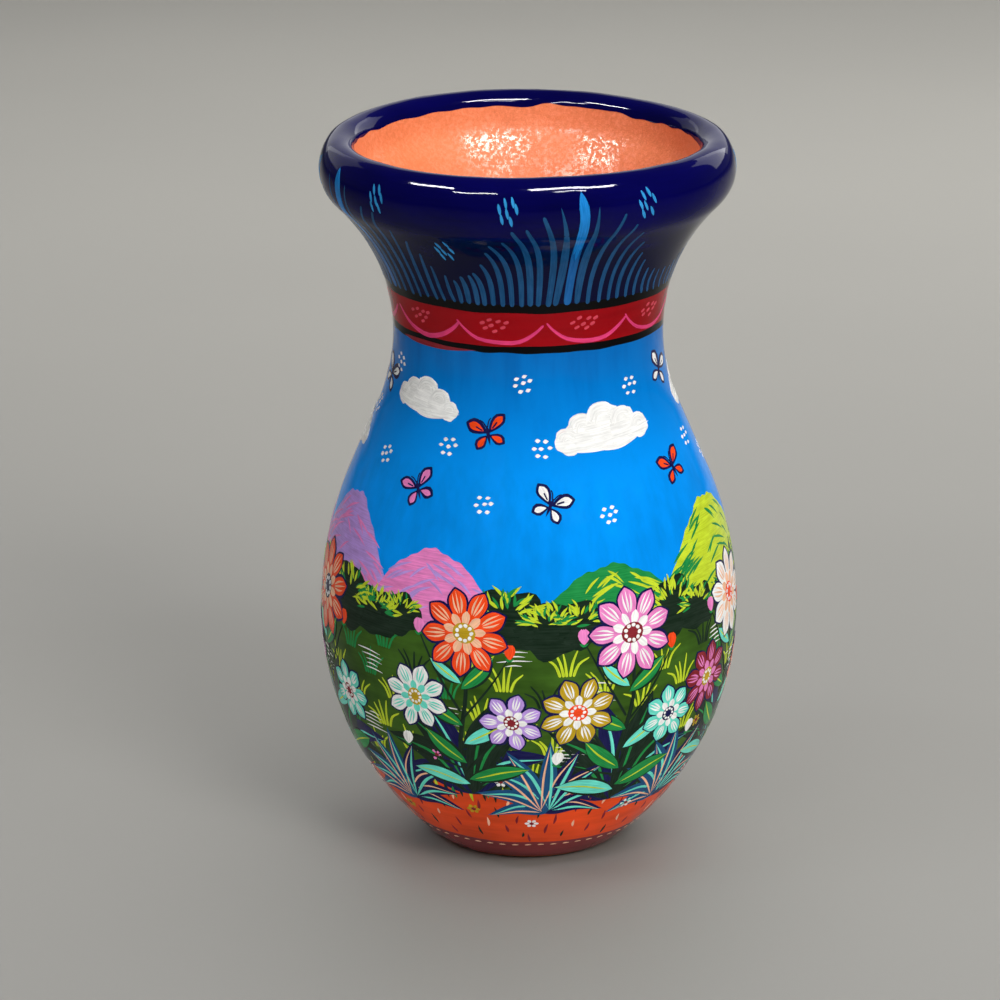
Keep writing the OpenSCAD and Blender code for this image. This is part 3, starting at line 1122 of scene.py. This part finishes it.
class VASE_OT_sky(VaseOperator, bpy.types.Operator):
    """Paints clouds, butterflies and clusters of white dots on the sky."""

    bl_idname = "vase.sky"
    bl_label = "Sky"

    SEED = 31
    # Degrees from the front, height in millimetres, and size
    CLOUDS = (
        (30, 150, 1.0), (-46, 158, 0.8), (102, 153, 1.1), (166, 141, 0.9), (230, 156, 1.1),
        (-94, 140, 0.8))
    # Middle, height and radius of each puff of a cloud, in millimetres
    PUFFS = ((-13, 0.5, 4.2), (-7, 3.2, 5.4), (0.5, 4.6, 6.4), (8, 2.6, 5.2), (14, 0.2, 3.8))
    # Points round a puff
    PUFF_POINTS = 30
    # Height and ends of the pulls along its foot
    CLOUD_FOOT = ((-1.6, -17, 6), (-2.8, -12, 16), (-0.4, 2, 19), (-3.6, -4, 12))
    # Degrees, height, tilt in degrees, and paint of the wings
    BUTTERFLIES = (
        (-15, 152, 16, "orange"), (7, 131, -26, "white"), (-38, 133, 30, "pink"),
        (57, 136, 14, "orange"), (69, 165, -20, "white"), (128, 138, 25, "orange"),
        (146, 164, -12, "pink"), (196, 160, 20, "white"), (206, 132, -24, "orange"),
        (262, 161, 18, "pink"), (-76, 162, -18, "white"))
    # Degrees and height of the clusters of dots
    DOTS = (
        (-2, 168), (5, 148), (-30, 147), (46, 164), (-58, 140), (26, 127), (-14, 131), (-66, 168),
        (74, 142), (88, 134), (116, 168), (132, 152), (150, 146), (182, 168), (188, 146),
        (218, 140), (246, 168), (252, 130), (278, 151))
    # Middles of the touches of a cluster, and the path of one, in millimetres
    TOUCHES = (
        (0, 0.2), (2.4, 0.8), (-2.5, -0.2), (1.0, 2.4), (-1.5, 2.2), (1.5, -2.1), (-1.0, -2.4))
    TOUCH = ((-0.9, -0.2), (0, 0), (0.9, 0.2))

    def execute(self, context):
        box = self.begin(context)
        for cloud in self.CLOUDS:
            self.cloud(box, *cloud)
        for butterfly in self.BUTTERFLIES:
            self.butterfly(box, *butterfly)
        for degrees, height in self.DOTS:
            spot = self.spot(degrees, height, turn=box.spread(30))
            box.cluster("white", spot, self.TOUCHES, (0.25, 0.25), self.TOUCH, 1.25, leaf)
        box.finish("sky", self.paints)
        return {"FINISHED"}

    def cloud(self, box, degrees, height, size):
        spot = self.spot(degrees, height, turn=box.spread(6), scale=size)
        turn = round_angles(self.PUFF_POINTS)
        white = box["white"]
        white.patch(spot, oval(0, 0.5, 15, 4, turn), 0)
        for layer, (x, y, radius) in enumerate(self.PUFFS):
            reach = radius * box.bumpy(turn, (5, 0.05), (9, 0.03))
            white.patch(spot, oval(x, y, 1.1 * reach, reach, turn), layer)
            for bend in (0.45, 0.72, 0.95):
                sweep = np.radians([170 + box.spread(15), 120, 70, 25 + box.spread(15)])
                path = oval(x, y, bend * radius, bend * radius, sweep)
                white.stroke(spot, path, 1.7, 6 + layer, leaf)
        for y, left, right in self.CLOUD_FOOT:
            path = [(left, y + box.spread(0.4)), (0.5 * (left + right), y), (right, y + 0.5)]
            white.stroke(spot, path, 2.4, 7, leaf)

    def butterfly(self, box, degrees, height, tilt, paint):
        """Dark wings, lighter ones on them, a rib and a feeler on each side, and the body."""
        spot = self.spot(degrees, height, turn=tilt)
        for side in (-1, 1):
            for wing_paint, path, width, layer, profile in (
                    ("ink", ((0.3, 0.4), (3.2, 3.0), (6.6, 5.2)), 4.8, 1, petal),
                    ("ink", ((0.3, -0.4), (2.6, -2.0), (4.7, -4.2)), 3.8, 1, petal),
                    (paint, ((1.3, 1.3), (3.4, 3.1), (5.7, 4.6)), 2.7, 3, petal),
                    (paint, ((1.0, -0.9), (2.6, -2.1), (4.0, -3.5)), 2.0, 3, petal),
                    ("ink", ((1.6, 1.5), (3.6, 3.2)), 0.5, 5, even),
                    ("ink", ((0.2, 2.2), (0.9, 4.0), (1.9, 5.0)), 0.4, 2, even)):
                mirrored = [(x * side, y) for x, y in path]
                box[wing_paint].stroke(spot, mirrored, width, layer, profile)
        box["ink"].stroke(spot, [(0, 2.8), (0, 0), (0, -3.6)], 1.2, 6, leaf)


class VASE_OT_hills(VaseOperator, bpy.types.Operator):
    """Paints the far hills and the row of shrubs along the horizon."""

    bl_idname = "vase.hills"
    bl_label = "Hills and shrubs"

    SEED = 41
    # Degrees from the front, half width in degrees, crown in millimetres, paint, and paint of the
    # strokes on it
    HILLS = (
        (-66, 32, 126, "lilac", "pink"), (-28, 27, 116, "pink", "lilac"),
        (68, 36, 124, "lime", "leaf"), (24, 30, 112, "leaf", "lime"),
        (112, 32, 118, "pink", "lilac"), (150, 34, 124, "lilac", "pink"),
        (188, 30, 114, "leaf", "lime"), (222, 32, 122, "lime", "leaf"),
        (262, 30, 115, "pink", "lilac"))
    # Height of the foot of all hills
    FOOT = 90
    # Degrees, height and size
    SHRUBS = (
        (-79, 94, 1.2), (-58, 91, 1.5), (-46, 90, 1.2), (-37, 92, 1.0), (-6, 93, 1.5), (6, 90, 1.3),
        (14, 92, 1.1), (43, 92, 1.4), (53, 90, 1.1), (84, 93, 1.3), (94, 91, 1.5), (128, 92, 1.4),
        (138, 90, 1.1), (168, 92, 1.5), (178, 91, 1.2), (212, 93, 1.3), (221, 90, 1.5),
        (252, 92, 1.4), (262, 91, 1.1), (271, 89, 1.0), (111, 90, 1.1), (236, 90, 1.0),
        (68, 90, 1.1))
    # Half width and half height of a shrub, and height of its middle
    SHRUB_WIDE, SHRUB_TALL, SHRUB_MIDDLE = 8.8, 6.8, 2
    # Points round a shrub, and number of the twigs on it
    SHRUB_POINTS = 36
    TWIGS = 42

    def execute(self, context):
        box = self.begin(context)
        for layer, hill in enumerate(self.HILLS):
            self.hill(box, layer % 3, *hill)
        for shrub in self.SHRUBS:
            self.shrub(box, *shrub)
        box.finish("horizon", self.paints)
        return {"FINISHED"}

    def hill(self, box, layer, middle, half_width, crown, paint, sheen):
        box[paint].rise(middle, half_width, self.FOOT, crown, layer, 0.5)
        for _ in range(int(1.5 * half_width)):
            share = box.spread(0.8)
            depth = 0.25 + 0.7 * box.random.random()
            height = self.FOOT + (crown - self.FOOT) * hill_bell(share) * depth
            slant = -math.copysign(1.8 + box.random.random(), share)
            reach = 2.5 + 3 * box.random.random()
            spot = self.spot(middle + share * half_width, height)
            path = [(-reach, -slant), (0, 0.5), (reach, slant)]
            box[sheen].stroke(spot, path, 0.9, layer + 1.4, leaf)

    def shrub(self, box, degrees, height, size):
        spot = self.spot(degrees, height, scale=size)

        def round_shrub(reach, turn):
            wide, tall = self.SHRUB_WIDE * reach, self.SHRUB_TALL * reach
            return oval(0, self.SHRUB_MIDDLE, wide, tall, turn)

        turn = round_angles(self.SHRUB_POINTS)
        box["pine"].patch(spot, round_shrub(box.bumpy(turn, (4, 0.09), (7, 0.06)), turn), 5)
        for k in range(self.TWIGS):
            a = math.pi * (0.02 + 0.96 * box.random.random())
            start = 0.35 + 0.45 * box.random.random()
            bend = a + box.spread(0.25)
            path = round_shrub(
                np.array([start, start + 0.2, start + 0.4]), np.array([a, 0.5 * (a + bend), bend]))
            box["lime" if k % 5 < 3 else "leaf"].stroke(spot, path, 0.7, 6 + k % 3, leaf)


class VASE_OT_garden(VaseOperator, bpy.types.Operator):
    """Paints the tall flowering plants and the agaves between them."""

    bl_idname = "vase.garden"
    bl_label = "Garden"

    SEED = 51
    # Degrees from the front, height of the root and size, then the paints of the petals, sheen and
    # eye of the three flowers
    PLANTS = (
        (-18, 34, 1.0, "orange peach ochre", "white turquoise ochre", "lilac white crimson"),
        (28, 30, 1.05, "pink white crimson", "ochre white orange", "turquoise white ink"),
        (72, 33, 1.0, "white peach orange", "crimson pink ochre", "orange peach ink"),
        (114, 31, 1.0, "orange peach white", "turquoise white ink", "pink white ochre"),
        (156, 34, 1.05, "lilac white ochre", "orange peach ink", "white turquoise ochre"),
        (198, 32, 1.0, "pink white ink", "ochre white crimson", "turquoise white orange"),
        (240, 33, 1.0, "white peach ochre", "crimson pink ochre", "lilac white ink"),
        (286, 32, 1.05, "orange peach ink", "pink white ochre", "turquoise white crimson"))
    # Place, radius and number of petals of a plant's flowers, in millimetres from its root
    HEADS = ((1, 59, 15.0, 9), (-16.5, 35, 11.6, 8), (16, 29, 10.6, 7))
    # Where the stalks of the lower two flowers leave the stem
    FORKS = (12, 8)
    # Place and paint of the buds
    BUDS = ((-15, 58, "pink"), (16, 52, "orange"), (-21, 17, "white"))
    # Where leaves leave the stem, how far they lean in degrees, and their length
    LEAVES = (
        (3, -74, 20), (5, 70, 21), (12, -46, 18), (20, 60, 17), (27, -62, 15), (40, 48, 16),
        (42, -50, 13))
    # How far the broad leaves behind a plant lean
    CLUMP = (-78, 75, -58, 54, -38, 34, -17, 14)
    # Degrees of the agaves, the height of their roots, and how far their leaves lean
    AGAVES = (6, 50, 93, 135, 177, 219, 263, 317)
    AGAVE_ROOT = 22
    AGAVE_LEANS = (-84, 80, -64, 60, -44, 40, -24, 21, -3)
    # Dots round the eye of a flower
    EYE_DOTS = 9

    def execute(self, context):
        box = self.begin(context)
        for degrees in self.AGAVES:
            self.agave(box, degrees, self.AGAVE_ROOT + box.spread(3), 1.2 + box.spread(0.1))
        for degrees, root, size, *flowers in self.PLANTS:
            spot = self.spot(degrees, root, scale=size)
            self.clump(box, spot)
            self.plant(box, spot, flowers)
        box.finish("garden", self.paints)
        return {"FINISHED"}

    def bent(self, a, long, bend, droop):
        """Middle and tip of a leaf that leans by an angle and droops."""
        middle = (0.5 * long * math.sin(bend * a), 0.55 * long * math.cos(bend * a))
        return middle, (long * math.sin(a), long * math.cos(a) - droop * abs(math.sin(a)))

    def agave(self, box, degrees, root, size):
        spot = self.spot(degrees, root, scale=size)
        for k, lean in enumerate(self.AGAVE_LEANS):
            a = math.radians(lean + box.spread(4))
            long = 16 + 12 * math.cos(a) + box.spread(1.5)
            middle, tip = self.bent(a, long, 0.85, 2.5)
            layer = 3 + 0.5 * k
            box["ink" if k % 2 else "teal"].stroke(spot, [(0, 0), middle, tip], 5.2, layer, leaf)
            for paint, off, width in (("turquoise", 0.9, 0.9), ("peach", -1.3, 0.6)):
                side = [(x + off * math.cos(a), y - off * math.sin(a)) for x, y in ((0, 2), middle)]
                path = [*side, (0.94 * tip[0], 0.94 * tip[1])]
                box[paint].stroke(spot, path, width, layer + 1, leaf)

    def clump(self, box, spot):
        """Broad dark leaves behind a plant."""
        for k, lean in enumerate(self.CLUMP):
            a = math.radians(lean + box.spread(5))
            long = 27 + 14 * math.cos(a) + box.spread(2)
            middle, tip = self.bent(a, long, 0.8, 3)
            layer = 2 + 0.4 * k
            ground, rib_paint = ("pine", "leaf") if k % 3 else ("ink", "turquoise")
            box[ground].stroke(spot, [(0, -2), middle, tip], 9.5, layer, leaf)
            rib = [(0.3 * middle[0], 0.3 * middle[1]), middle, (0.93 * tip[0], 0.93 * tip[1])]
            box[rib_paint].stroke(spot, rib, 1.0, layer + 1.2, leaf)

    def plant(self, box, spot, flowers):
        stem = [(0, 0), (-1.5, 18), (1.5, 38), (1, 56)]
        box["pine"].stroke(spot, stem, 1.7, 7, blade)
        for (x, y, *_), start in zip(self.HEADS[1:], self.FORKS):
            box["pine"].stroke(spot, [(-0.8, start), (0.55 * x, 0.7 * y), (x, y)], 1.2, 7, blade)
        for x, y, paint in self.BUDS:
            box["pine"].stroke(spot, [(-0.5, 0.55 * y), (0.6 * x, 0.8 * y), (x, y)], 0.8, 7, blade)
            self.bud(box, spot, x, y, paint)
        for k, (y, lean, long) in enumerate(self.LEAVES):
            self.leaf(box, spot, y, lean + box.spread(6), long, "leaf" if k % 3 else "turquoise")
        for (x, y, radius, petals), paints in zip(self.HEADS, flowers):
            self.flower(box, spot, x, y, radius * (1 + box.spread(0.06)), petals, *paints.split())

    def leaf(self, box, spot, y, lean, long, paint):
        a = math.radians(lean)
        end = (long * math.sin(a), y + long * math.cos(a))
        middle = (0.55 * long * math.sin(1.15 * a), y + 0.5 * long * math.cos(0.9 * a))
        path = [(0, y), middle, end]
        box["pine"].stroke(spot, path, 0.37 * long, 8, leaf)
        box[paint].stroke(spot, path, 0.29 * long, 9, leaf)
        rib = [(0.1 * end[0], y + 0.1 * (end[1] - y)), middle, end]
        box["lime"].stroke(spot, rib, 0.55, 10, leaf)

    def bud(self, box, spot, x, y, paint):
        for lean in (-0.5, 0.5, 0):
            path = [(x, y - 1), (x + 1.6 * lean, y + 1.4), (x + 1.2 * lean, y + 4)]
            box[paint].stroke(spot, path, 2.2, 9 + abs(lean), petal)
        cup = [(x - 1.4, y - 0.6), (x, y - 1.3), (x + 1.4, y - 0.6)]
        box["leaf"].stroke(spot, cup, 0.9, 10, leaf)

    def flower(self, box, spot, x, y, radius, petals, petal_paint, sheen, eye):
        """A ring of pressed drops, a lighter pull on each, a smaller ring and a dotted eye."""
        begin = box.random.random()

        def at(turn, reach, aside=0.0):
            c, s = math.cos(turn), math.sin(turn)
            return x + radius * (reach * c - aside * s), y + radius * (reach * s + aside * c)

        def drop(paint, turn, reaches, width, layer):
            box[paint].stroke(spot, [at(turn, reach) for reach in reaches], width, layer, petal)

        for k in range(petals):
            turn = 2 * math.pi * (k + begin) / petals
            layer = 10 + 0.5 * (k % 2)
            drop("ink", turn, (0.2, 0.6, 1.05), 4.4 * radius / petals, layer)
            drop(petal_paint, turn, (0.15, 0.6, 1.0), 3.7 * radius / petals, layer + 1.2)
            for aside, reach in ((0.09, 0.9), (-0.09, 0.84), (0, 0.95)):
                path = [at(turn, 0.45, 0.4 * aside), at(turn, 0.65, aside), at(turn, reach, aside)]
                box[sheen].stroke(spot, path, 0.42 * radius / petals, layer + 2.4, leaf)
        for k in range(petals):
            turn = 2 * math.pi * (k + begin + 0.5) / petals
            drop(sheen, turn, (0.1, 0.3, 0.5), 1.7 * radius / petals, 13.5)
        box[eye].dot(spot, x, y, 0.25 * radius, 15)
        dots = box["white" if eye != "white" else "ink"]
        for k in range(self.EYE_DOTS):
            turn = 2 * math.pi * k / self.EYE_DOTS
            dots.dot(spot, *at(turn, 0.17), 0.045 * radius, 16.5)


class VASE_OT_ground(VaseOperator, bpy.types.Operator):
    """Paints the grass of the meadow, the dashes of the earth and those of the foot band."""

    bl_idname = "vase.ground"
    bl_label = "Ground strokes"

    SEED = 61
    # Number of each, the lowest height in millimetres, and the reach above it
    TUFTS = (110, 38, 46)
    FURROWS = (22, 46, 36)
    EARTH_DASHES = (150, 12.5, 20)
    DAISIES = (34, 20, 34)
    # Shares of the reach from one height to the next, which scatter them evenly
    SCATTER = 0.618
    DAISY_SCATTER = 0.38
    # Number of the pulls along the edge of the meadow, and of the dashes of the foot band
    EDGE_PULLS = 130
    FOOT_DASHES = 60

    def execute(self, context):
        box = self.begin(context)
        for _, degrees, height in self.scattered(self.TUFTS):
            self.tuft(box, degrees, height)
        for _, degrees, height in self.scattered(self.FURROWS):
            self.furrow(box, degrees, height)
        self.earth_edge(box)
        for k, degrees, height in self.scattered(self.EARTH_DASHES):
            self.earth_dash(box, degrees, height, k)
        for k, degrees, height in self.scattered(self.DAISIES, self.DAISY_SCATTER, 0.5):
            self.daisy(box, degrees, height, k)
        for k in range(self.FOOT_DASHES):
            degrees = 360 * k / self.FOOT_DASHES
            spot = self.spot(degrees, self.shape.foot_band / MM - 1.6, turn=box.spread(6))
            box["peach"].stroke(spot, [(-1.1, -0.2), (0, 0), (1.1, -0.1)], 0.7, 1, leaf)
        box.finish("ground", self.paints)
        return {"FINISHED"}

    def scattered(self, table, scatter=SCATTER, loose=1.0):
        """Numbers, degrees and heights of strokes all over a stretch of the ground."""
        count, low, reach = table
        for k, degrees in self.box.round_the_pot(count, loose):
            yield k, degrees, low + reach * (k * scatter % 1)

    def tuft(self, box, degrees, height):
        spot = self.spot(degrees, height)
        paint = ("lime", "leaf", "pine", "lime")[int(4 * box.random.random())]
        for lean in (-38, -20, -4, 14, 32):
            a = math.radians(lean + box.spread(9))
            long = 5.5 + 3 * math.cos(a) + box.spread(1.5)
            x = 0.06 * lean
            path = [
                (x, 0), (x + 0.35 * long * math.sin(a), 0.5 * long),
                (x + long * math.sin(a), long * math.cos(a))]
            box[paint].stroke(spot, path, 0.95, 1 + 0.01 * abs(lean), blade)

    def furrow(self, box, degrees, height):
        spot = self.spot(degrees, height, turn=box.spread(5))
        for k in range(5):
            reach = 4.5 + box.spread(2)
            y = 1.5 * k
            x = box.spread(2)
            path = [(x - reach, y), (x, y + 0.3), (x + reach, y - 0.1)]
            box["white"].stroke(spot, path, 0.42, 2.5, leaf)

    def earth_edge(self, box):
        """Short upright pulls of dark green where the meadow ends."""
        for k, degrees in box.round_the_pot(self.EDGE_PULLS):
            spot = self.spot(degrees, self.shape.earth / MM)
            long = 3 + 3 * box.random.random()
            paint = ("pine", "leaf", "pine", "lime")[k % 4]
            path = [(0, -long), (box.spread(0.5), 0), (box.spread(1.2), long)]
            box[paint].stroke(spot, path, 1.2, 1.5, leaf)

    def earth_dash(self, box, degrees, height, k):
        spot = self.spot(degrees, height, turn=box.spread(14))
        long = 1.6 + 1.6 * box.random.random()
        paint = ("crimson", "pine", "crimson", "peach")[k % 4]
        box[paint].stroke(spot, [(0, -long), (box.spread(0.3), 0), (0, long)], 0.9, 1, leaf)

    def daisy(self, box, degrees, height, k):
        spot = self.spot(degrees, height)
        paint = ("white", "pink", "ochre")[k % 3]
        for j in range(6):
            c, s = math.cos(math.pi * j / 3), math.sin(math.pi * j / 3)
            box[paint].stroke(spot, [(0.5 * c, 0.5 * s), (2.3 * c, 2.3 * s)], 1.3, 3, petal)
        box["crimson"].dot(spot, 0, 0, 0.75, 5)


class VASE_OT_stage(VaseOperator, bpy.types.Operator):
    """Sets up the floor, the lights and the camera."""

    bl_idname = "vase.stage"
    bl_label = "Stage"

    # Name, place, size and power of the soft lights, which give no glare. They face the vase, but
    # one with degrees at the end hangs level and is turned by them about the upright
    SOFT = (
        ("ceiling", (0.15, 0.15, 2.2), (1.4, 1.4), 22.0),
        ("front", (1.15, -1.8, 1.55), (0.9, 0.9), 47.0),
        ("left", (-1.0, -1.9, 1.5), (0.9, 0.9), 11.0),
        ("right", (2.2, -0.9, 1.5), (1.2, 1.2), 8.0),
        ("behind", (0.4, 1.0, 0.75), (1.8, 0.8), 19.0, 0),
    )
    # The same for the strip lights and the pale walls that the gloss mirrors
    MIRRORED = (
        ("right_strip", (0.52, -0.85, 1.43), (1.10, 0.22), 220.0, 16),
        ("left_strip", (-1.23, -0.54, 1.43), (0.82, 0.20), 150.0, -36),
        ("thin_strip", (-0.65, -1.04, 1.18), (0.62, 0.09), 40.0, -20),
        ("low_strip", (0.47, -1.04, 1.18), (0.44, 0.08), 29.0, 14),
        ("right_wall", (1.25, 1.55, 0.95), (1.1, 1.0), 9.0),
        ("back_wall", (0.0, 2.2, 0.9), (2.6, 1.2), 8.0),
        ("left_wall", (-1.25, 1.55, 0.95), (1.1, 1.0), 3.3),
    )
    # Colour and strength of the light from all round
    ROOM = (0.52, 0.53, 0.55, 1)
    ROOM_LIGHT = 0.25
    # Width of the film behind the lens, in millimetres, and points round the floor
    FILM = 36.0
    FLOOR_POINTS = 96

    def execute(self, context):
        stage = context.scene.vase_stage
        self.floor(stage)
        for light in self.SOFT:
            self.light(*light).visible_glossy = False
        for light in self.MIRRORED:
            self.light(*light).visible_diffuse = False
        self.camera(context.scene, stage)
        self.world(context.scene)
        context.scene.view_settings.view_transform = "Standard"
        return {"FINISHED"}

    def floor(self, stage):
        turn = round_angles(self.FLOOR_POINTS)
        reach = stage.floor_radius
        edge = np.column_stack([oval(0, 0, reach, reach, turn), 0 * turn])
        mesh = bpy.data.meshes.new("floor")
        mesh.from_pydata(edge.tolist(), [], [list(range(len(turn)))])
        mesh.materials.append(stage_floor("floor_grey", stage.floor))
        floor = bpy.data.objects.new("floor", mesh)
        bpy.context.scene.collection.objects.link(floor)
        floor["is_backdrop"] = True

    def light(self, name, place, size, power, turn=None):
        panel = bpy.data.lights.new(name, "AREA")
        panel.shape = "RECTANGLE"
        panel.size, panel.size_y = size
        panel.energy = power
        lamp = bpy.data.objects.new(name, panel)
        lamp.location = place
        if turn is None:
            middle = 0.5 * (CAD_BOX[0] + CAD_BOX[1])
            lamp.rotation_euler = (middle - lamp.location).to_track_quat("-Z", "Y").to_euler()
        else:
            lamp.rotation_euler.z = math.radians(turn)
        lamp.visible_camera = False
        bpy.context.scene.collection.objects.link(lamp)
        return lamp

    def camera(self, scene, stage):
        lens = bpy.data.cameras.new("camera")
        lens.sensor_width = self.FILM
        lens.lens = stage.lens
        lens.shift_x = stage.shift
        camera = bpy.data.objects.new("camera", lens)
        camera.location = (0, -stage.camera_distance, stage.camera_height)
        camera.rotation_euler = (math.pi / 2 - stage.camera_pitch, 0, 0)
        scene.collection.objects.link(camera)
        scene.camera = camera

    def world(self, scene):
        world = bpy.data.worlds.new("studio")
        world.use_nodes = True
        background = world.node_tree.nodes["Background"]
        background.inputs["Color"].default_value = self.ROOM
        background.inputs["Strength"].default_value = self.ROOM_LIGHT
        scene.world = world


class VASE_PT_panel(bpy.types.Panel):
    """Lists the steps of dressing the vase."""

    bl_idname = "VASE_PT_panel"
    bl_label = "Vase"
    bl_space_type = "VIEW_3D"
    bl_region_type = "UI"
    bl_category = "Vase"

    def draw(self, context):
        for step in STEPS:
            self.layout.operator(step.bl_idname)


GROUPS = {"vase_shape": VaseShape, "vase_paints": VasePaints, "vase_stage": VaseStage}
STEPS = (
    VASE_OT_clay, VASE_OT_coats, VASE_OT_neck, VASE_OT_band, VASE_OT_sky, VASE_OT_hills,
    VASE_OT_garden, VASE_OT_ground, VASE_OT_stage)
CLASSES = (*GROUPS.values(), *STEPS, VASE_PT_panel)


def register():
    for cls in CLASSES:
        bpy.utils.register_class(cls)
    for name, group in GROUPS.items():
        setattr(bpy.types.Scene, name, bpy.props.PointerProperty(type=group))


def unregister():
    for name in GROUPS:
        delattr(bpy.types.Scene, name)
    for cls in reversed(CLASSES):
        bpy.utils.unregister_class(cls)


def main():
    register()
    bpy.ops.vase.clay()
    bpy.ops.vase.coats()
    bpy.ops.vase.neck()
    bpy.ops.vase.band()
    bpy.ops.vase.sky()
    bpy.ops.vase.hills()
    bpy.ops.vase.garden()
    bpy.ops.vase.ground()
    bpy.ops.vase.stage()
    boxes = {"cad": CAD_BOX, "visual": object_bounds()}
    {name: [list(corner) for corner in box] for name, box in boxes.items()}


if __name__ == "__main__":
    main()
